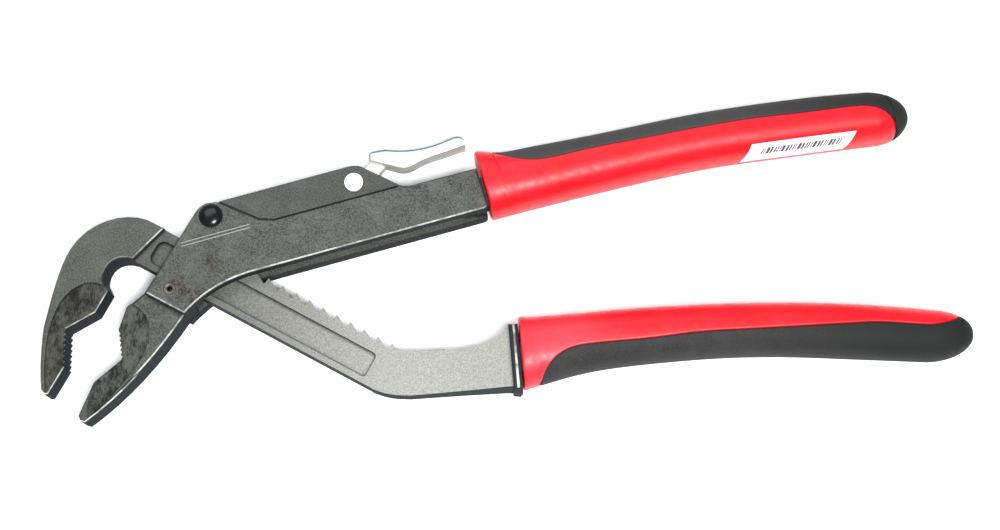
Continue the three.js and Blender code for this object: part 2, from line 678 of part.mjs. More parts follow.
// The red core and the black soft side of a whole grip, parted along the outline that softSide makes.
function twoTone(whole, softSide) {
  const cutter = (grow) => plate(softSide(grow), CUT_LOW, CUT_HIGH, { divisions: 5 });
  return { core: whole.subtract(cutter(PARTING)), soft: whole.intersect(cutter(-PARTING)) };
}

const upperTangRoom = outline([
  [60, -7.9], [95, -8.0], [130, -9.8], [172.6, -16.6], [171.6, -22.6], [130, -17.9], [95, -16.3], [60, -16.9],
]);
const lowerTangRoom = outline([
  [72, -33.4], [91, -31.0], [110, -28.3], [140, -25.9], [184.6, -26.9],
  [184.6, -33.2], [140, -33.8], [110, -36.2], [91, -40.3], [72, -44],
]);

function upperGrips() {
  const beyondFront = block([50, -40, CUT_LOW], [72.9, 12, CUT_HIGH]);
  const whole = gripBody(upperGripEdges).subtract(beyondFront).subtract(tangHole(upperTangRoom));
  return twoTone(whole, upperSoftSide);
}

function lowerGrips() {
  const frontFace = outline([[60, -20], [81.9, -20], [82.3, -29.9], [84.0, -47.2], [84.3, -56], [60, -56]]);
  const beyondFront = plate(frontFace, CUT_LOW, CUT_HIGH);
  const whole = gripBody(lowerGripEdges).subtract(beyondFront).subtract(tangHole(lowerTangRoom));
  return twoTone(whole, lowerSoftSide);
}

// A sticker on the inner side of the upper grip, where it turns away from the top.
function stockLabel() {
  const band = gripBody(upperGripEdges, 0.32).subtract(gripBody(upperGripEdges, 0.08));
  return band.intersect(block([142, -40, 8], [171, -20, 15.6]));
}

// ---------------------------------------------------------------- assembly

const pliers = new THREE.Group();
pliers.position.set(MAIN_RIVET_X, MAIN_RIVET_Y, 0);

const upper = new THREE.Group();
upper.rotation.z = UPPER_ANGLE;
pliers.add(upper);

const hook = new THREE.Group();
hook.rotation.z = SHANK_ANGLE;
pliers.add(hook);

upper.add(named('frame_forging', geometryOf(frameForging()), STEEL));
upper.add(named('release_lever', geometryOf(leverBody()), BRIGHT_STEEL));
upper.add(named('lever_spring', leverSpring(), BRIGHT_STEEL));
upper.add(named('pawl_spring', pawlSpring(), BRIGHT_STEEL));

const washerThick = 0.3;
const washerRoom = 0.02; // to the cheek
const washerHole = bar([0, 0], RIVET_RADIUS + 0.05, CUT_LOW, CUT_HIGH);
for (const [name, low] of [
  ['rivet_washer_front', above(BODY_THICK) + washerRoom],
  ['rivet_washer_rear', below(BODY_THICK) - washerRoom - washerThick],
]) {
  const washer = bar([0, 0], RIVET_HEAD_RADIUS + 0.35, low, low + washerThick, 32).subtract(washerHole);
  upper.add(named(name, geometryOf(washer), BRIGHT_STEEL));
}
const underHead = BODY_THICK + 2 * washerThick + 4 * washerRoom;
const headHigh = 0.75;
const mainRivet = rivet(
  [0, 0], RIVET_RADIUS, RIVET_HEAD_RADIUS, below(underHead), above(underHead), headHigh,
);
upper.add(named('main_rivet', mainRivet, DARK_STEEL));
const plainPin = (at, radius, long) => rivet(at, radius, radius, below(long), above(long), 0);
upper.add(named('guide_pin', plainPin(GUIDE_PIN_AT, GUIDE_PIN_RADIUS, PIN_LONG), DARK_STEEL));
upper.add(named('lever_pin', plainPin(LEVER_PIN_AT, LEVER_PIN_RADIUS, PIN_LONG), BRIGHT_STEEL));
upper.add(named('spring_stop_pin', plainPin(STOP_PIN_AT, STOP_PIN_RADIUS, SLOT_WIDE + 3), BRIGHT_STEEL));
const sleeveThick = SLOT_WIDE - 2 * GAP;
const sleeve = bar(GUIDE_PIN_AT, SLEEVE_RADIUS, below(sleeveThick), above(sleeveThick))
  .subtract(bar(GUIDE_PIN_AT, GUIDE_PIN_RADIUS + 0.08, CUT_LOW, CUT_HIGH));
upper.add(named('guide_sleeve', geometryOf(sleeve), BRIGHT_STEEL));

const upperGrip = upperGrips();
upper.add(named('upper_grip_core', geometryOf(upperGrip.core), RED_PLASTIC));
upper.add(named('upper_grip_soft', geometryOf(upperGrip.soft), BLACK_RUBBER));
upper.add(named('stock_label', geometryOf(stockLabel()), WHITE_LABEL));

hook.add(named('hook_jaw_forging', geometryOf(hookForging()), STEEL));
hook.add(named('tongue_front', geometryOf(tongue(1)), BRIGHT_STEEL));
hook.add(named('tongue_rear', geometryOf(tongue(-1)), BRIGHT_STEEL));
hook.add(named('pawl', geometryOf(pawlBody()), DARK_STEEL));

const lowerHandle = new THREE.Group();
lowerHandle.rotation.z = -SHANK_ANGLE;
hook.add(lowerHandle);
const lowerGrip = lowerGrips();
lowerHandle.add(named('lower_grip_core', geometryOf(lowerGrip.core), RED_PLASTIC));
lowerHandle.add(named('lower_grip_soft', geometryOf(lowerGrip.soft), BLACK_RUBBER));

export default pliers;
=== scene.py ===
"""Tongue and groove pliers: pieces, materials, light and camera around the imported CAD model."""
import json
import math

import bmesh
import bpy
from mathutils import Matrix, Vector


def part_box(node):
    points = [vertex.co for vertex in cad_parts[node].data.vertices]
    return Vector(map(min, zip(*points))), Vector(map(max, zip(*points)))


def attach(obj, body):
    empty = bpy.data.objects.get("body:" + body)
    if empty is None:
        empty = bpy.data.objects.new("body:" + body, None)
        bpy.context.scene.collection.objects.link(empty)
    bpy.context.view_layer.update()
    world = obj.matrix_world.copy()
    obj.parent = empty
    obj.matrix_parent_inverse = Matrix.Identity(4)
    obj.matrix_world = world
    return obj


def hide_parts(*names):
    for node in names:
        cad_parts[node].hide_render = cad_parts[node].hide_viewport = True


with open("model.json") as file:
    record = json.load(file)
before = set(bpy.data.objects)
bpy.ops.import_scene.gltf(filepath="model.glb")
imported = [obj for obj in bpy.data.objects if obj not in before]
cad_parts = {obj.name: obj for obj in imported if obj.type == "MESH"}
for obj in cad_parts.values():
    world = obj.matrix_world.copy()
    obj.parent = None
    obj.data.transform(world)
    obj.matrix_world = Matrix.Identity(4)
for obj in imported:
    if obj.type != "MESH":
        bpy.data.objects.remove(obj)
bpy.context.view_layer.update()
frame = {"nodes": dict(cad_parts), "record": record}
bpy.context.scene.view_settings.view_transform = "Standard"

# Lengths are in mm until placed() or MM turns them into metres.
MM = 0.001

# The part's own axes: each set starts at the main rivet, and is turned from the row's frame.
RIVET = Vector((-79.83, 9.27))
UPPER_TURN = math.radians(16)
SHANK_TURN = math.radians(-28.3)
MIDDLE_Z = 8.5

# The forgings' faces, by distance from the middle plane.
CHEEK_FACE = 7.3
RIB_GROOVE_FLOOR = 7.05
PANEL_FACE = 6.7
COLLAR_LOW = 6.2  # on the hook forging, only the collar reaches further out
FRONT_JAW_FACE = 4.8
FRONT_JAW_GROUND = 4.45
HOOK_FACE = 4.6
HOOK_GROUND = 4.25

# The forgings' colours from 0 to 255: painted shade for creases and broken edges, rust, and a worn
# edge line that is also a painted highlight.
CREASE_SHADE = (18, 20, 20)
RUST = (40, 27, 15)
BROKEN_EDGE_SHADE = (34, 38, 38)
WORN_EDGE_GLINT = (214, 217, 210)

# The grips.
GRIP_THICK = 17.0
GRIP_SQUARENESS = 2.5  # exponent of the rings' superellipse: 2 is an ellipse
GRIP_WALL = 1.0
THINNEST = 0.02
EDGE_SAMPLES = 150
LINE_SAMPLES = 200
END_RINGS = 26
PARTING_DEPTH = 0.34
PARTING_REACH = 0.42

# The label on the upper grip, by x along the grip and by the angle round its ring.
LABEL_START, LABEL_END = 144.0, 172.4
LABEL_LOW, LABEL_HIGH = math.radians(128), math.radians(180)
LABEL_SLANT = -3.2
LABEL_PROUD = 0.16
LABEL_SUNK = -0.05
BAR_COUNT = 26
BAR_START = 148.0
BAR_LOW, BAR_HIGH = math.radians(141), math.radians(159)
BAR_SLANT = -1.0
BAR_PROUD = 0.2
BAR_WIDTHS = (0.35, 0.6, 0.28, 0.45, 0.8)
BAR_GAPS = (0.3, 0.5, 0.24, 0.4)


def placed(x, y, z, turn):
    """A point of one of the part's own axes, in metres in the row's frame."""
    c, s = math.cos(turn), math.sin(turn)
    return Vector(((RIVET.x + c * x - s * y) * MM, (RIVET.y + s * x + c * y) * MM, z * MM))


def rgb(r, g, b):
    """Linear colour from 0-255 screen values."""
    linear = (((v / 255 + 0.055) / 1.055) ** 2.4 if v > 10 else v / 255 / 12.92
              for v in (r, g, b))
    return tuple(linear) + (1.0,)


def darker(colour, share):
    """A 0-255 colour taken down to a share of itself."""
    return tuple(int(v * share) for v in colour)


# ---------------------------------------------------------------- node material helpers

class Nodes:
    """Builds one material's node tree, with short calls for the nodes that repeat."""

    def __init__(self, name):
        self.material = bpy.data.materials.new(name)
        self.material.use_nodes = True
        self.tree = self.material.node_tree
        self.tree.nodes.clear()
        self.shader = self.new("ShaderNodeBsdfPrincipled")
        out = self.new("ShaderNodeOutputMaterial")
        self.link(self.shader.outputs[0], out.inputs[0])
        self.where = self.new("ShaderNodeTexCoord").outputs["Object"]

    def new(self, kind, **values):
        node = self.tree.nodes.new(kind)
        for key, value in values.items():
            setattr(node, key, value)
        return node

    def link(self, source, target):
        """Joins a node's output to an input, or sets a plain value on the input."""
        if hasattr(source, "links"):
            self.tree.links.new(source, target)
        else:
            target.default_value = source

    def math(self, how, a, b=0.0):
        node = self.new("ShaderNodeMath", operation=how)
        self.link(a, node.inputs[0])
        self.link(b, node.inputs[1])
        return node.outputs[0]

    def times(self, a, b):
        return self.math("MULTIPLY", a, b)

    def plus(self, a, b):
        return self.math("ADD", a, b)

    def minus(self, a, b):
        return self.math("SUBTRACT", a, b)

    def away(self, value, centre):
        """The distance of a value from a centre, whichever side it lies on."""
        return self.math("ABSOLUTE", self.minus(value, centre))

    def ramp(self, value, low, high, out_low=0.0, out_high=1.0):
        """A smooth step from out_low to out_high as the value goes from low to high."""
        node = self.new("ShaderNodeMapRange", interpolation_type="SMOOTHSTEP")
        for socket, number in zip(node.inputs, (value, low, high, out_low, out_high)):
            self.link(number, socket)
        return node.outputs[0]

    def mix(self, share, a, b):
        node = self.new("ShaderNodeMix", data_type="RGBA")
        self.link(share, node.inputs[0])
        self.link(a, node.inputs[6])
        self.link(b, node.inputs[7])
        return node.outputs[2]

    def noise(self, scale, detail=3.0, rough=0.55, stretch=None):
        where = self.where
        if stretch:
            mapping = self.new("ShaderNodeMapping")
            mapping.inputs["Scale"].default_value = stretch
            self.link(where, mapping.inputs[0])
            where = mapping.outputs[0]
        node = self.new("ShaderNodeTexNoise")
        self.link(where, node.inputs["Vector"])
        node.inputs["Scale"].default_value = scale
        node.inputs["Detail"].default_value = detail
        node.inputs["Roughness"].default_value = rough
        return node.outputs[0]

    def cells(self, scale):
        node = self.new("ShaderNodeTexVoronoi")
        self.link(self.where, node.inputs["Vector"])
        node.inputs["Scale"].default_value = scale
        return node.outputs[0]

    def part_of(self, vector, which):
        """The X, Y or Z part of a vector."""
        node = self.new("ShaderNodeSeparateXYZ")
        self.link(vector, node.inputs[0])
        return node.outputs["XYZ".index(which)]

    def axis(self, which):
        return self.part_of(self.where, which)

    def true_normal(self):
        return self.new("ShaderNodeNewGeometry").outputs["True Normal"]

    def rounded_normal(self, radius):
        bevel = self.new("ShaderNodeBevel", samples=6)
        bevel.inputs["Radius"].default_value = radius
        return bevel.outputs[0]

    def facing(self, which):
        """How far a face looks along an axis, from -1 to 1."""
        return self.part_of(self.true_normal(), which)

    def level(self):
        """How level a face lies: 1 on flats, 0.7 on broken edges, 0 on the sides."""
        return self.math("ABSOLUTE", self.facing("Z"))

    def leaning(self, which, radius, low, high):
        """0 to 1 as the rounded normal at a corner goes from low to high along an axis."""
        return self.ramp(self.part_of(self.rounded_normal(radius), which), low, high)

    def edges(self, radius, low=0.02, high=0.35):
        """1 on corners, 0 on flats: how far a rounded normal turns from the true one."""
        dot = self.new("ShaderNodeVectorMath", operation="DOT_PRODUCT")
        self.link(self.rounded_normal(radius), dot.inputs[0])
        self.link(self.true_normal(), dot.inputs[1])
        return self.ramp(self.minus(1.0, dot.outputs["Value"]), low, high)

    def creases(self, distance, low, high):
        """1 in hollows and inner corners, 0 on open surfaces."""
        node = self.new("ShaderNodeAmbientOcclusion", samples=6, only_local=True)
        node.inputs["Distance"].default_value = distance
        return self.ramp(node.outputs["AO"], low, high, 1.0, 0.0)

    def spot(self, x, y, turn, radius_in, radius_out):
        """1 near a point of the part's own axes, fading to 0, whatever the height."""
        centre = placed(x, y, 0, turn)
        dx = self.minus(self.axis("X"), centre.x)
        dy = self.minus(self.axis("Y"), centre.y)
        distance = self.math("SQRT", self.plus(self.times(dx, dx), self.times(dy, dy)))
        return self.ramp(distance, radius_in * MM, radius_out * MM, 1.0, 0.0)

    def bump(self, height, strength, distance):
        node = self.new("ShaderNodeBump")
        node.inputs["Strength"].default_value = strength
        node.inputs["Distance"].default_value = distance
        self.link(height, node.inputs["Height"])
        return node.outputs[0]

    def finish(self, colour, roughness, normal=None, **values):
        """Joins the shader's inputs. A name in values has _ where the input's has a space."""
        self.link(colour, self.shader.inputs["Base Color"])
        self.link(roughness, self.shader.inputs["Roughness"])
        if normal is not None:
            self.link(normal, self.shader.inputs["Normal"])
        for key, value in values.items():
            self.shader.inputs[key.replace("_", " ")].default_value = value
        return self.material


# ---------------------------------------------------------------- forged steel

def blasted_skin(n, grain, skin, bright, dark, lighter):
    """Grain between two greys, with brighter patches. lighter = (colour, from x, to x) gives
    a paler tone that comes in along X."""
    mixed = n.mix(n.ramp(grain, 0.36, 0.66), rgb(*dark), rgb(*skin))
    patches = n.noise(170, 4.0, 0.65)
    mixed = n.mix(n.ramp(patches, 0.42, 0.72, 0.0, 0.22), mixed, rgb(*bright))
    if lighter:
        colour, start, end = lighter
        speckled = n.mix(n.ramp(grain, 0.34, 0.7), rgb(*darker(colour, 0.78)), rgb(*colour))
        mixed = n.mix(n.ramp(n.axis("X"), start * MM, end * MM), mixed, speckled)
    return mixed


def ground_metal(n, mixed, off_middle, face, light, deep, right):
    """Blotchy ground metal on the faces at one distance from the middle, left of x = right."""
    inside = n.ramp(n.away(off_middle, face * MM), 0.1 * MM, 0.16 * MM, 1.0, 0.0)
    inside = n.times(inside, n.ramp(n.axis("X"), (right - 1) * MM, right * MM, 1.0, 0.0))
    coarse = n.noise(210, 5.0, 0.72, stretch=(1.3, 0.8, 1.0))
    fine = n.noise(1500, 4.0, 0.75, stretch=(1.6, 0.5, 1.0))
    blotches = n.plus(n.times(coarse, 0.6), n.times(fine, 0.4))
    return n.mix(inside, mixed, n.mix(n.ramp(blotches, 0.4, 0.6), rgb(*deep), rgb(*light)))


def shaded_collar(n, mixed, off_middle, lean, middle, colour, highlight_colour):
    """Painted shade on the collar's faces: dark metal, with a painted highlight streak along
    the line x + lean * y = middle."""
    on_collar = n.ramp(off_middle, (COLLAR_LOW - 0.15) * MM, COLLAR_LOW * MM)
    mixed = n.mix(on_collar, mixed, rgb(*colour))
    across = n.away(n.plus(n.axis("X"), n.times(n.axis("Y"), lean)), middle * MM)
    highlight_streak = n.times(n.ramp(across, 0.12 * MM, 0.4 * MM, 1.0, 0.0),
                     n.ramp(n.noise(330, 3.0), 0.34, 0.6, 0.2, 0.9))
    return n.mix(n.times(highlight_streak, on_collar), mixed, rgb(*highlight_colour))


def worn_glint_lines(n, off_middle, tops, glint_dimmed_spots):
    """1 on the outer rim of the broken edges: a worn line that is also a painted highlight,
    strongest on edges facing -Y. tops = (face, low y, high y) for each run of edge, and the
    last argument gives spots = (x, y, turn, radius) where the painted highlight is dimmed."""
    line, rim_drop = 0.0, 0.14
    for face, low_y, high_y in tops:
        rim_height = (face - rim_drop) * MM
        near = n.ramp(n.away(off_middle, rim_height), 0.12 * MM, 0.24 * MM, 1.0, 0.0)
        along = n.times(n.ramp(n.axis("Y"), low_y * MM, (low_y + 1) * MM),
                        n.ramp(n.axis("Y"), (high_y - 1) * MM, high_y * MM, 1.0, 0.0))
        line = n.math("MAXIMUM", line, n.times(near, along))
    # Spots where the painted highlight is dimmed.
    for x, y, turn, radius in glint_dimmed_spots:
        glint_dimming = n.times(n.spot(x, y, turn, radius, radius + 2), 0.7)
        line = n.times(line, n.minus(1.0, glint_dimming))
    # Painted highlight: the line is strongest on edges facing -Y.
    glint_side = n.ramp(n.facing("Y"), -0.45, 0.1, 1.0, 0.12)
    return n.times(line, n.times(n.ramp(n.noise(210, 4.0, 0.7), 0.36, 0.62, 0.3, 0.95), glint_side))


def forging(name, skin, bright, dark, ground, tops, lighter=None, rust=(), levels=(),
            collar=None, glint_dimmed_spots=()):
    """Blasted, plated forged steel with rust spots, painted shade in its hollows, painted shade
    on the broken edges, and a worn line on them that is also a painted highlight. levels =
    (face, colour, share) tints the faces at one distance from the middle."""
    n = Nodes(name)
    grain = n.noise(2300, 4.0, 0.75)
    off_middle = n.away(n.axis("Z"), MIDDLE_Z * MM)
    mixed = blasted_skin(n, grain, skin, bright, dark, lighter)
    mixed = ground_metal(n, mixed, off_middle, **ground)
    # Painted shade and a painted highlight streak on the collar.
    if collar:
        mixed = shaded_collar(n, mixed, off_middle, **collar)
    for x, y, turn, radius in rust:
        near = n.times(n.spot(x, y, turn, 0.0, radius), n.ramp(n.noise(800, 5.0, 0.8), 0.46, 0.58))
        mixed = n.mix(n.times(near, 0.8), mixed, rgb(*RUST))
    # Painted shade in the hollows and inner corners.
    mixed = n.mix(n.times(n.creases(1.2 * MM, 0.4, 1.0), 0.9), mixed, rgb(*CREASE_SHADE))
    for face, colour, share in levels:
        near = n.away(off_middle, face * MM)
        mixed = n.mix(n.ramp(near, 0.05 * MM, 0.09 * MM, share, 0.0), mixed, rgb(*colour))
    # Painted shade on the broken edges, except on the collar.
    broken = n.ramp(n.level(), 0.8, 0.95, 1.0, 0.0)
    if collar:
        below = n.ramp(off_middle, (COLLAR_LOW - 0.3) * MM, COLLAR_LOW * MM, 1.0, 0.0)
        broken = n.times(broken, below)
    mixed = n.mix(n.times(broken, 0.8), mixed, rgb(*BROKEN_EDGE_SHADE))
    # A worn line on the broken edges, painted bright as a highlight.
    worn = n.times(broken, worn_glint_lines(n, off_middle, tops, glint_dimmed_spots))
    mixed = n.mix(worn, mixed, rgb(*WORN_EDGE_GLINT))
    height = n.plus(grain, n.times(n.ramp(n.cells(1300), 0.05, 0.4), 0.5))
    return n.finish(mixed, n.ramp(grain, 0.25, 0.75, 0.38, 0.58), n.bump(height, 0.45, 0.07 * MM),
                    Metallic=0.35, Specular_IOR_Level=0.2)


def shaded_forged_sides(name, colour, highlight_colour):
    """Painted shade on the forgings' steep sides: a dark, dull copy of the steel, with scuffed
    painted highlights along their corners.
    """
    n = Nodes(name)
    grain = n.noise(1700, 4.0, 0.7)
    mixed = n.mix(n.ramp(grain, 0.3, 0.7), rgb(*darker(colour, 0.7)), rgb(*colour))
    # Scuffed painted highlights along the corners.
    scuffed_highlights = n.times(n.edges(0.12 * MM, 0.05, 0.4), n.ramp(n.noise(480, 3.0), 0.42, 0.62, 0.0, 0.5))
    mixed = n.mix(scuffed_highlights, mixed, rgb(*highlight_colour))
    return n.finish(mixed, n.ramp(grain, 0.3, 0.7, 0.55, 0.7), n.bump(grain, 0.4, 0.05 * MM),
                    Specular_IOR_Level=0.03)


# ---------------------------------------------------------------- other steel

def plated(name, colour, roughness, metallic=1.0, scratch=0.12):
    """Bright turned or pressed steel with faint scratches and a painted highlight on its edges."""
    n = Nodes(name)
    lines = n.noise(900, 2.0, 0.5, stretch=(1.0, 7.0, 3.0))
    cloud = n.noise(160, 3.0)
    tone = n.mix(n.ramp(cloud, 0.3, 0.7, 0.0, 0.5), rgb(*colour), rgb(*darker(colour, 0.82)))
    # Painted highlight along the edges.
    tone = n.mix(n.times(n.edges(0.2 * MM), 0.5), tone, rgb(245, 246, 246))
    rough = n.ramp(lines, 0.3, 0.7, roughness, roughness + scratch)
    return n.finish(tone, rough, n.bump(lines, 0.12, 0.02 * MM), Metallic=metallic)


def polished_lever():
    """Bright face, with painted shade: grey on the slopes, pale grey-green on the sides, a
    blue-grey line along the pad's back and left end, and dark on the faces turned to +Y."""
    n = Nodes("polished_lever")
    level = n.level()
    lines = n.noise(900, 2.0, 0.5, stretch=(1.0, 7.0, 3.0))
    tone = n.mix(n.ramp(lines, 0.3, 0.7, 0.0, 0.3), rgb(228, 230, 228), rgb(206, 209, 206))
    # Painted shade: greyer on the slopes, pale grey-green on the sides.
    tone = n.mix(n.ramp(level, 0.5, 0.97, 0.8, 0.0), tone, rgb(176, 180, 174))
    tone = n.mix(n.ramp(level, 0.2, 0.6, 0.9, 0.0), tone, rgb(204, 206, 194))
    # A blue-grey painted shade line along the pad's back edge and left end.
    left_end = n.minus(1.0, n.leaning("X", 0.45 * MM, -0.4, -0.12))
    outline = n.math("MAXIMUM", n.leaning("Y", 0.45 * MM, 0.1, 0.3), left_end)
    outline = n.times(outline, n.ramp(level, 0.5, 0.8))
    tone = n.mix(n.times(outline, 0.95), tone, rgb(50, 96, 122))
    # Dark painted shade on the faces turned to +Y.
    back = n.times(n.ramp(n.facing("Y"), 0.05, 0.3), n.ramp(level, 0.8, 0.98, 0.95, 0.0))
    tone = n.mix(back, tone, rgb(36, 50, 58))
    return n.finish(tone, n.ramp(lines, 0.3, 0.7, 0.28, 0.4), n.bump(lines, 0.12, 0.02 * MM),
                    Metallic=0.35, Specular_IOR_Level=0.3)


def drilled_pin_face():
    """Brownish worn steel, with painted shade: black inside the guide pin's centre hole, and dark
    on the steep faces.
    """
    n = Nodes("worn_drilled_pin")
    stain = n.ramp(n.noise(900, 4.0, 0.7), 0.35, 0.65)
    tone = n.mix(stain, rgb(64, 59, 48), rgb(96, 93, 83))
    # Painted shade: black inside the centre hole.
    tone = n.mix(n.spot(-15.3, -16.3, UPPER_TURN, 0.62, 0.8), tone, rgb(8, 8, 8))
    # Painted shade on the steep faces.
    tone = n.mix(n.ramp(n.level(), 0.4, 0.9, 0.7, 0.0), tone, rgb(30, 29, 26))
    return n.finish(tone, n.ramp(stain, 0.0, 1.0, 0.4, 0.55), n.bump(stain, 0.2, 0.02 * MM),
                    Metallic=0.3)


# ---------------------------------------------------------------- plastic, rubber and paper

def red_plastic():
    """Satin moulding with fine cells, pale scuffs and a painted sheen at the start of the lower
    grip.
    """
    n = Nodes("satin_red_moulding")
    cloud = n.noise(90, 3.0)
    tone = n.mix(n.ramp(cloud, 0.3, 0.7), rgb(190, 6, 20), rgb(206, 14, 30))
    # Painted sheen at the start of the lower grip.
    tone = n.mix(n.times(n.spot(93, -37, 0.0, 2, 20), 0.3), tone, rgb(226, 84, 100))
    scuff = n.times(n.ramp(n.noise(260, 5.0, 0.7), 0.6, 0.76), 0.25)
    tone = n.mix(scuff, tone, rgb(232, 60, 72))
    rough = n.ramp(n.noise(420, 4.0), 0.3, 0.7, 0.36, 0.48)
    pores = n.ramp(n.cells(2600), 0.0, 0.6)
    return n.finish(tone, rough, n.bump(pores, 0.14, 0.03 * MM), Specular_IOR_Level=0.3)


def black_rubber():
    """Matt speckled moulding: dusty, lighter on the upper grip, with painted shade darker towards
    the ends.
    """
    n = Nodes("matt_black_rubber")
    speck = n.noise(3000, 3.0, 0.75)
    dust = n.ramp(n.noise(120, 4.0, 0.65), 0.35, 0.75, 0.0, 0.5)
    tone = n.mix(n.ramp(speck, 0.4, 0.72), rgb(30, 29, 29), rgb(58, 57, 56))
    tone = n.mix(dust, tone, rgb(50, 49, 48))
    tone = n.mix(n.ramp(n.axis("Y"), 5 * MM, 20 * MM, 0.0, 0.35), tone, rgb(70, 69, 68))
    # Painted shade: darker towards the ends.
    tone = n.mix(n.ramp(n.axis("X"), 55 * MM, 108 * MM, 0.0, 0.8), tone, rgb(15, 18, 18))
    rough = n.ramp(speck, 0.3, 0.7, 0.66, 0.86)
    return n.finish(tone, rough, n.bump(speck, 0.4, 0.05 * MM), Specular_IOR_Level=0.25)


def label_paper():
    n = Nodes("coated_label_paper")
    tone = n.mix(n.ramp(n.noise(500, 3.0), 0.3, 0.7), rgb(236, 232, 238), rgb(252, 250, 252))
    rough = n.ramp(n.noise(300, 2.0), 0.3, 0.7, 0.38, 0.5)
    return n.finish(tone, rough, n.bump(n.noise(1500, 2.0), 0.1, 0.01 * MM))


def label_ink():
    n = Nodes("label_ink")
    tone = n.mix(n.ramp(n.noise(1500, 3.0), 0.35, 0.7), rgb(36, 36, 40), rgb(86, 86, 92))
    return n.finish(tone, 0.5)


FRAME_STEEL = forging(
    "blasted_frame_steel", skin=(88, 90, 85), bright=(108, 111, 105), dark=(44, 46, 43),
    ground=dict(face=FRONT_JAW_GROUND, light=(74, 75, 70), deep=(12, 14, 14), right=-95),
    tops=((CHEEK_FACE, -60, 60), (FRONT_JAW_FACE, -34, 0), (FRONT_JAW_GROUND, -60, -33)),
    rust=((-12.5, -16.5, UPPER_TURN, 6.5), (-9.5, -20.5, UPPER_TURN, 5.0),
          (-3, -12.5, UPPER_TURN, 4.0)),
    # The rib groove floor's pale tint is a painted highlight; the panel faces are tinted darker.
    levels=((RIB_GROOVE_FLOOR, (178, 181, 175), 0.6), (PANEL_FACE, (60, 62, 60), 0.3)))
HOOK_STEEL = forging(
    "blasted_hook_steel", skin=(86, 88, 82), bright=(102, 104, 97), dark=(54, 56, 52),
    ground=dict(face=HOOK_GROUND, light=(70, 70, 64), deep=(18, 19, 18), right=-92),
    tops=((HOOK_FACE, -10, 40), (HOOK_GROUND, -60, -9)),
    lighter=((156, 157, 149), -100, -22),
    # The collar's painted shade colour and painted highlight colour.
    collar=dict(lean=0.081, middle=-0.5, colour=(34, 37, 38), highlight_colour=(196, 198, 194)),
    # A spot where the painted edge highlight is dimmed.
    glint_dimmed_spots=((-14, -24.5, SHANK_TURN, 6.0),))
# Painted shade: darker copies of the steel for the steep sides.
FRAME_SHADED_SIDES = shaded_forged_sides("shaded_frame_sides", (36, 43, 46), (120, 124, 120))
HOOK_SHADED_SIDES = shaded_forged_sides("shaded_hook_sides", (40, 47, 50), (130, 133, 128))
BRIGHT = plated("bright_plated_steel", (226, 228, 228), 0.2)
LEVER = polished_lever()
DARK = plated("glossy_black_steel", (30, 31, 32), 0.16, metallic=0.7, scratch=0.1)
PIN_FACE = plated("polished_pin_face", (240, 241, 241), 0.35, metallic=0.25)
GUIDE = drilled_pin_face()
PAWL = plated("hardened_steel", (110, 112, 112), 0.34)
RED = red_plastic()
RUBBER = black_rubber()
PAPER = label_paper()
INK = label_ink()


# ---------------------------------------------------------------- mesh helpers

def body_of(node):
    bodies = frame["record"]["behaviour"]["bodies"]
    return next(body for body, members in bodies.items() if node in members)


def add_object(name, bm, material, body, replaced=()):
    """Turns a finished bmesh into a piece that rides on a body."""
    mesh = bpy.data.meshes.new(name)
    bm.to_mesh(mesh)
    bm.free()
    mesh.materials.append(material)
    piece = bpy.data.objects.new(name, mesh)
    bpy.context.scene.collection.objects.link(piece)
    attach(piece, body)
    if replaced:
        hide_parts(*replaced)
    return piece


def smooth(bm, sharp_from=None):
    """Smooth shading, with sharp edges where faces turn by more than sharp_from degrees."""
    for face in bm.faces:
        face.smooth = True
    if sharp_from:
        for edge in bm.edges:
            turn = math.degrees(edge.calc_face_angle(0.0))
            edge.smooth = len(edge.link_faces) == 2 and turn <= sharp_from


def join_rows(bm, rows):
    """Quads between rows of points."""
    for a, b in zip(rows, rows[1:]):
        for k in range(len(a) - 1):
            bm.faces.new((a[k], a[k + 1], b[k + 1], b[k]))


def refined(node, material, sides=None, sharp_from=32):
    """A clean copy of a CAD node: welded, flats joined into single faces, with sharp corners
    kept. Its steep sides may take a material of their own, with painted shade."""
    source = bmesh.new()
    source.from_mesh(frame["nodes"][node].data)
    clean = bmesh.new()
    points = [clean.verts.new(v.co) for v in source.verts]
    for face in source.faces:
        try:
            clean.faces.new([points[v.index] for v in face.verts])
        except ValueError:
            pass  # a second face on the same points
    source.free()
    bmesh.ops.remove_doubles(clean, verts=clean.verts, dist=0.002 * MM)
    bmesh.ops.dissolve_limit(clean, angle_limit=math.radians(0.6), verts=clean.verts,
                             edges=clean.edges)
    bmesh.ops.recalc_face_normals(clean, faces=clean.faces)
    smooth(clean, sharp_from)
    piece = add_object("visible_" + node, clean, material, body_of(node), [node])
    # The steep sides take the painted-shade material.
    if sides:
        piece.data.materials.append(sides)
        steepest_level = 0.45
        for face in piece.data.polygons:
            if abs(face.normal.z) < steepest_level:
                face.material_index = 1


# ---------------------------------------------------------------- curves

def running_lengths(points):
    lengths = [0.0]
    for a, b in zip(points, points[1:]):
        lengths.append(lengths[-1] + (b - a).length)
    return lengths


def places(lengths, wanted):
    """For each wanted length, in rising order: the span that it falls in, and its share."""
    j = 0
    for want in wanted:
        while j < len(lengths) - 2 and lengths[j + 1] < want:
            j += 1
        span = lengths[j + 1] - lengths[j]
        share = (want - lengths[j]) / span if span > 1e-9 else 0.0
        yield j, max(0.0, min(1.0, share))


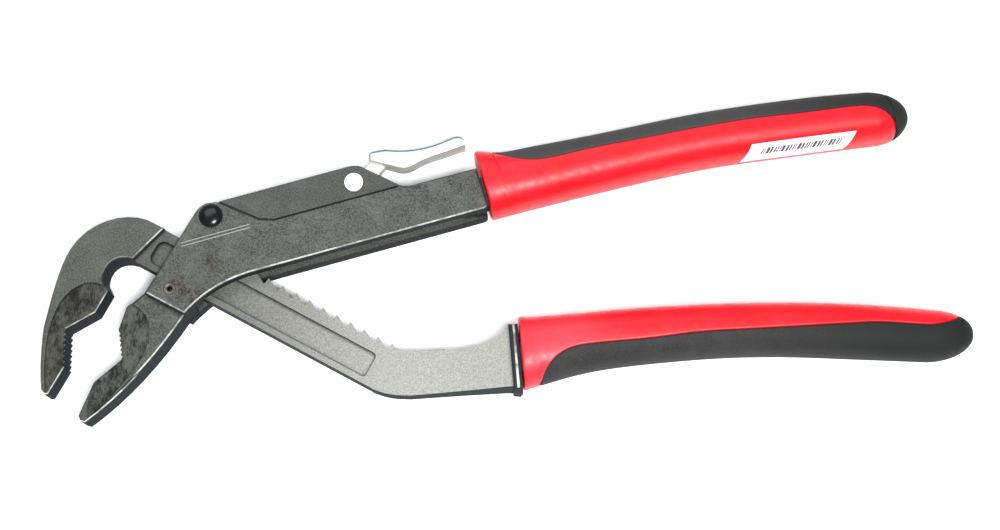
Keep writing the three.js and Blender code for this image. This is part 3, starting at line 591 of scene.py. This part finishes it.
def spline(points, count, steps=24):
    """Even samples along a Catmull-Rom curve through the points."""
    pts = [Vector(p) for p in points]
    dense = []
    for i in range(len(pts) - 1):
        p0, p1, p2, p3 = pts[max(i - 1, 0)], pts[i], pts[i + 1], pts[min(i + 2, len(pts) - 1)]
        for step in range(steps):
            t = step / steps
            dense.append(0.5 * (2 * p1 + (p2 - p0) * t + (2 * p0 - 5 * p1 + 4 * p2 - p3) * t * t
                                + (3 * p1 - p0 - 3 * p2 + p3) * t ** 3))
    dense.append(pts[-1])
    lengths = running_lengths(dense)
    wanted = [lengths[-1] * i / count for i in range(count + 1)]
    return [dense[j].lerp(dense[j + 1], share) for j, share in places(lengths, wanted)]


def bezier(p, t):
    a, b, c, d = (Vector(q) for q in p)
    u = 1 - t
    return a * u ** 3 + b * 3 * u * u * t + c * 3 * u * t * t + d * t ** 3


# ---------------------------------------------------------------- grips

class Ring:
    """One cross-section of a grip: its centre, the way from there to the back edge, half its
    thickness in Z, and how far it is drawn in."""

    def __init__(self, centre, half, thick, inset=0.0):
        self.centre, self.half, self.thick, self.inset = centre, half, thick, inset


class Grip:
    """A rounded handle lofted from two edge curves. A ring's angle is 0 at the back edge and
    pi at the front one."""

    LIP = ((0.0, 0.55), (0.06, 0.3), (0.22, 0.1), (0.5, 0.02), (0.9, 0.0))  # (along, inset)
    LIP_LENGTH = 1.5

    def __init__(self, back, back_end, front, front_end, turn):
        self.turn = turn
        self.tip = Vector(back_end[-1])
        backs, fronts = spline(back, EDGE_SAMPLES), spline(front, EDGE_SAMPLES)
        rings = [Ring((a + b) / 2, (a - b) / 2, GRIP_THICK / 2) for a, b in zip(backs, fronts)]
        depth = (backs[-1] - fronts[-1]).length
        for i in range(1, END_RINGS):
            t = math.sin(i / END_RINGS * math.pi / 2)
            a, b = bezier(back_end, t), bezier(front_end, t)
            size = (a - b).length / depth
            rings.append(Ring((a + b) / 2, (a - b) / 2, GRIP_THICK / 2 * size ** 0.8))
        start = rings[0]
        along = (rings[1].centre - start.centre).normalized()
        lips = [Ring(start.centre + along * forward, start.half, start.thick, inset)
                for forward, inset in self.LIP]
        self.rings = lips + [r for r in rings
                             if (r.centre - start.centre).dot(along) > self.LIP_LENGTH]

    def point(self, ring, angle, grow=0.0):
        """A point of the surface, moved outwards by grow."""
        power = 2 / GRIP_SQUARENESS
        c, s = math.cos(angle), math.sin(angle)
        across = math.copysign(abs(c) ** power, c)
        up = math.copysign(abs(s) ** power, s)
        grow -= ring.inset
        length = ring.half.length
        flat = ring.centre + ring.half * (across * (max(length + grow, THINNEST) / length))
        return Vector((flat.x, flat.y, MIDDLE_Z + max(ring.thick + grow, THINNEST) * up))

    def surface(self, x, angle, lift):
        """A point of the surface by its distance along the part's own X axis."""
        for a, b in zip(self.rings, self.rings[1:]):
            if a.centre.x <= x <= b.centre.x:
                t = (x - a.centre.x) / (b.centre.x - a.centre.x)
                return self.point(a, angle, lift).lerp(self.point(b, angle, lift), t)
        raise ValueError("the place lies outside the grip")

    def share_at(self, ring, line):
        """Where a parting line crosses a ring, as 1 at the back edge to -1 at the front one."""
        across = ring.half.normalized()
        along = Vector((-across.y, across.x))
        for a, b in zip(line, line[1:]):
            da, db = (a - ring.centre).dot(along), (b - ring.centre).dot(along)
            if da * db <= 0 and da != db:
                hit = a.lerp(b, da / (da - db))
                return (hit - ring.centre).dot(across) / ring.half.length
        return None


def angle_of(share):
    """The ring angle of a share of the way from the centre to the back edge."""
    share = max(-1.0, min(1.0, share))
    return math.acos(math.copysign(abs(share) ** (GRIP_SQUARENESS / 2), share))


def arc_samples(grip, ring, low, high, groove):
    """Points from angle low to high, closer together at the ends, which sink into the parting
    groove."""
    fine, middle_points = 260, 54
    angles = [low + (high - low) * i / fine for i in range(fine + 1)]
    lengths = running_lengths([grip.point(ring, a) for a in angles])
    total = lengths[-1]
    scale = min(1.0, total / 3.0)
    ends = [e * scale for e in (0.0, 0.12, 0.26, PARTING_REACH, 0.7)]
    step = (total - 2 * ends[-1]) / (middle_points + 1)
    wanted = ends + [ends[-1] + step * i for i in range(1, middle_points + 1)]
    wanted += [total - e for e in reversed(ends)]
    result = []
    for want, (j, share) in zip(wanted, places(lengths, wanted)):
        angle = angles[j] + (angles[j + 1] - angles[j]) * share
        distance = min(want, total - want)
        sink = groove * (1 - distance / PARTING_REACH) ** 2 if distance < PARTING_REACH else 0.0
        result.append(grip.point(ring, angle, -sink))
    return result


def grip_patch(name, grip, line, side, material, body, node, first_share, last_share):
    """The red or the black share of a grip. side is 1 for the part at the back edge, -1 for
    the front. The shares hold for the rings before and after the parting line."""
    shares = [grip.share_at(ring, line) for ring in grip.rings]
    first_known = next(i for i, share in enumerate(shares) if share is not None)
    rows = []
    for i, (ring, share) in enumerate(zip(grip.rings, shares)):
        if share is None:
            share = first_share if i < first_known else last_share
        edge = angle_of(share)
        groove = PARTING_DEPTH * min(1.0, (1 - abs(share)) / 0.08) if abs(share) < 1 else 0.0
        low, high = (-edge, edge) if side > 0 else (edge, 2 * math.pi - edge)
        rows.append(arc_samples(grip, ring, low, high, groove) if high - low >= 1e-4 else None)
    keep = [i for i, row in enumerate(rows) if row]
    bm = bmesh.new()
    grid = [[bm.verts.new(placed(p.x, p.y, p.z, grip.turn)) for p in row]
            for row in rows[keep[0]:keep[-1] + 1]]
    join_rows(bm, grid)
    if keep[0] == 0:
        centre = grip.rings[0].centre
        hub = bm.verts.new(placed(centre.x, centre.y, MIDDLE_Z, grip.turn))
        for a, b in zip(grid[0], grid[0][1:]):
            bm.faces.new((hub, b, a))
    if keep[-1] == len(rows) - 1:
        tip = bm.verts.new(placed(grip.tip.x, grip.tip.y, MIDDLE_Z, grip.turn))
        for a, b in zip(grid[-1], grid[-1][1:]):
            bm.faces.new((tip, a, b))
    bmesh.ops.remove_doubles(bm, verts=bm.verts, dist=0.012 * MM)
    bmesh.ops.recalc_face_normals(bm, faces=bm.faces)
    smooth(bm)
    piece = add_object(name, bm, material, body, [node])
    shell = piece.modifiers.new("wall", "SOLIDIFY")
    shell.thickness = GRIP_WALL * MM
    shell.offset = -1.0


# The partings between red and black, from the start of each grip to its end.
UPPER_LINE = spline(
    [(77.2, -2.2), (78.6, -3.8), (82.9, -6.7), (87.9, -8.7), (93.3, -9.4), (105.9, -10.0),
     (119.7, -11.2), (133.5, -12.3), (147.4, -13.8), (160.9, -16.0), (174.6, -18.0),
     (179.6, -19.3), (182.8, -21.4), (184.6, -24.2), (185.3, -27.0), (185.5, -30.2)],
    LINE_SAMPLES)
LOWER_LINE = spline(
    [(87.0, -48.0), (87.4, -46.4), (88.1, -45.0), (89.2, -42.4), (90.7, -40.0), (93.2, -37.6),
     (97.1, -35.7), (103.7, -34.7), (116.9, -33.5), (130.1, -31.8), (143.3, -31.0),
     (156.5, -30.2), (169.7, -29.4), (177.7, -29.0), (188.2, -29.6), (192.1, -29.6),
     (197.0, -28.3), (199.6, -26.6), (201.0, -24.0)],
    LINE_SAMPLES)

upper_grip = Grip(
    back=[(72.9, -0.5), (74.6, -0.7), (80, -2.6), (90, -3.5), (107, -4.9), (136, -6.9),
          (164, -10.6), (181, -13.8)],
    back_end=[(181, -13.8), (187.5, -15.6), (190.6, -19.4), (190.6, -22.4)],
    front=[(72.9, -19.65), (80, -19.6), (103, -20.1), (132, -21.5), (157, -24.7), (181, -28.2)],
    front_end=[(181, -28.2), (187, -28.9), (190.6, -26.2), (190.6, -22.4)],
    turn=UPPER_TURN)
lower_grip = Grip(
    back=[(82.2, -26.5), (91, -26.0), (117, -23.8), (145, -22.6), (171, -22.9), (194, -24.7)],
    back_end=[(194, -24.7), (200.4, -25.4), (203.7, -27.8), (203.7, -31.2)],
    front=[(83.9, -45.9), (86, -45.2), (104, -40.4), (131, -37.4), (152, -36.7), (174, -37.4),
           (192, -38.1)],
    front_end=[(192, -38.1), (199, -37.8), (203.7, -35), (203.7, -31.2)],
    turn=0.0)

grip_patch("upper_grip_red", upper_grip, UPPER_LINE, -1, RED, "upper_handle",
           "upper_grip_core", 1.0, -1.0)
grip_patch("upper_grip_black", upper_grip, UPPER_LINE, 1, RUBBER, "upper_handle",
           "upper_grip_soft", 1.0, -1.0)
grip_patch("lower_grip_red", lower_grip, LOWER_LINE, 1, RED, "hook_jaw",
           "lower_grip_core", -1.0, 1.0)
grip_patch("lower_grip_black", lower_grip, LOWER_LINE, -1, RUBBER, "hook_jaw",
           "lower_grip_soft", -1.0, 1.0)


# ---------------------------------------------------------------- steel pieces

refined("frame_forging", FRAME_STEEL, FRAME_SHADED_SIDES)
refined("hook_jaw_forging", HOOK_STEEL, HOOK_SHADED_SIDES)
refined("release_lever", LEVER)
refined("pawl", PAWL)
refined("lever_pin", PIN_FACE, sharp_from=40)
for small_part in ("tongue_front", "tongue_rear", "guide_sleeve", "spring_stop_pin",
                   "lever_spring", "pawl_spring"):
    refined(small_part, BRIGHT, sharp_from=40)
for washer in ("rivet_washer_front", "rivet_washer_rear"):
    refined(washer, DARK, sharp_from=40)


def turned(name, node, material, half, sides=64):
    """A round piece spun about a CAD pin's axis. half is the profile above the middle plane,
    as (radius, height) from the pole down; the lower half mirrors it."""
    low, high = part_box(node)
    centre = (low + high) / 2
    profile = half + [(r, 2 * MIDDLE_Z - z) for r, z in reversed(half)]
    bm = bmesh.new()
    rings = []
    for radius, height in profile:
        spokes = sides if radius else 1
        angles = [2 * math.pi * k / spokes for k in range(spokes)]
        rings.append([bm.verts.new((centre.x + radius * MM * math.cos(angle),
                                    centre.y + radius * MM * math.sin(angle), height * MM))
                      for angle in angles])
    for a, b in zip(rings, rings[1:]):
        for k in range(sides):
            j = (k + 1) % sides
            corners = [a[k % len(a)], a[j % len(a)], b[j % len(b)], b[k % len(b)]]
            bm.faces.new(list(dict.fromkeys(corners)))
    bmesh.ops.recalc_face_normals(bm, faces=bm.faces)
    smooth(bm, sharp_from=38)
    add_object(name, bm, material, body_of(node), [node])


turned("domed_rivet", "main_rivet", DARK,
       [(0, 16.98), (0.6, 16.96), (1.2, 16.9), (1.8, 16.78), (2.3, 16.6), (2.7, 16.38),
        (2.95, 16.2), (3.08, 16.08), (3.1, 16.0), (3.02, 15.9), (2.9, 15.82), (2.2, 15.8)])
turned("drilled_guide_pin", "guide_pin", GUIDE,
       [(0, 13.2), (0.42, 13.3), (0.55, 14.0), (0.6, 15.5), (0.82, 15.76), (1.02, 15.86),
        (1.3, 15.9), (1.48, 15.88), (1.56, 15.8), (1.6, 15.7)])


# ---------------------------------------------------------------- label

def rim(grid):
    """The outline of a grid of points, once round."""
    return (grid[0] + [row[-1] for row in grid[1:]] + grid[-1][-2::-1]
            + [row[0] for row in grid[-2:0:-1]])


def label_strip(name, material, start, end, edge_low, edge_high, proud, slant, across, along,
                node=None):
    """A strip that follows the upper grip's surface, from x start to end, between two ring
    angles. It stands proud of the grip and sinks a little into it."""
    bm = bmesh.new()
    layers = []
    for lift in (proud, LABEL_SUNK):
        grid = []
        for i in range(along + 1):
            row = []
            for j in range(across + 1):
                v = j / across
                x = start + (end - start) * i / along + slant * (v - 0.5)
                p = upper_grip.surface(x, edge_low + (edge_high - edge_low) * v, lift)
                row.append(bm.verts.new(placed(p.x, p.y, p.z, UPPER_TURN)))
            grid.append(row)
        layers.append(grid)
    for grid in layers:
        join_rows(bm, grid)
    rim_top, rim_low = (rim(grid) for grid in layers)
    for k in range(len(rim_top)):
        j = (k + 1) % len(rim_top)
        bm.faces.new((rim_top[k], rim_top[j], rim_low[j], rim_low[k]))
    bmesh.ops.recalc_face_normals(bm, faces=bm.faces)
    add_object(name, bm, material, "upper_handle", [node] if node else ())


label_strip("label_sheet", PAPER, LABEL_START, LABEL_END, LABEL_LOW, LABEL_HIGH,
            LABEL_PROUD, LABEL_SLANT, across=10, along=40, node="stock_label")
bar_x = BAR_START
for index in range(BAR_COUNT):
    wide = BAR_WIDTHS[index * 7 % len(BAR_WIDTHS)]
    label_strip(f"label_bar_{index:02d}", INK, bar_x, bar_x + wide, BAR_LOW, BAR_HIGH,
                BAR_PROUD, BAR_SLANT, across=4, along=1)
    bar_x += wide + BAR_GAPS[index * 3 % len(BAR_GAPS)]


# ---------------------------------------------------------------- floor, light and camera

FLOOR_HALF = 3  # metres, as are all lengths from here on
floor_mesh = bpy.data.meshes.new("floor")
floor_mesh.from_pydata([(-FLOOR_HALF, -FLOOR_HALF, 0), (FLOOR_HALF, -FLOOR_HALF, 0),
                        (FLOOR_HALF, FLOOR_HALF, 0), (-FLOOR_HALF, FLOOR_HALF, 0)],
                       [], [(0, 1, 2, 3)])
floor = bpy.data.objects.new("floor", floor_mesh)
bpy.context.scene.collection.objects.link(floor)
floor_nodes = Nodes("pale_floor")
floor_tone = floor_nodes.mix(floor_nodes.noise(6, 2.0), rgb(246, 247, 248), rgb(250, 250, 250))
floor_mesh.materials.append(floor_nodes.finish(floor_tone, 0.9))

world = bpy.data.worlds.new("studio")
bpy.context.scene.world = world
world.use_nodes = True
sky = world.node_tree.nodes["Background"]
sky.inputs["Color"].default_value = (0.94, 0.97, 1.0, 1.0)
sky.inputs["Strength"].default_value = 0.5


def area_light(name, at, size, power):
    """A rectangular light that points at the middle of the tool."""
    data = bpy.data.lights.new(name, "AREA")
    data.shape = "RECTANGLE"
    data.size, data.size_y = size
    data.energy = power
    lamp = bpy.data.objects.new(name, data)
    lamp.location = at
    lamp.rotation_euler = (-Vector(at)).to_track_quat("-Z", "Y").to_euler()
    bpy.context.scene.collection.objects.link(lamp)


area_light("key_light", (0.06, -0.22, 0.62), (0.2, 0.16), 6.5)
area_light("top_light", (-0.2, 0.4, 0.62), (0.6, 0.4), 2.5)

CAMERA_ELEVATION = 76  # degrees above the floor
camera_data = bpy.data.cameras.new("camera")
camera_data.sensor_width = 36.0
camera_data.lens = 63.36
camera_data.clip_start = 0.01
camera = bpy.data.objects.new("camera", camera_data)
camera.location = (-0.0024, -0.11746, 0.47005)
camera.rotation_euler = (math.radians(90 - CAMERA_ELEVATION), 0.0, 0.0)
bpy.context.scene.collection.objects.link(camera)
bpy.context.scene.camera = camera
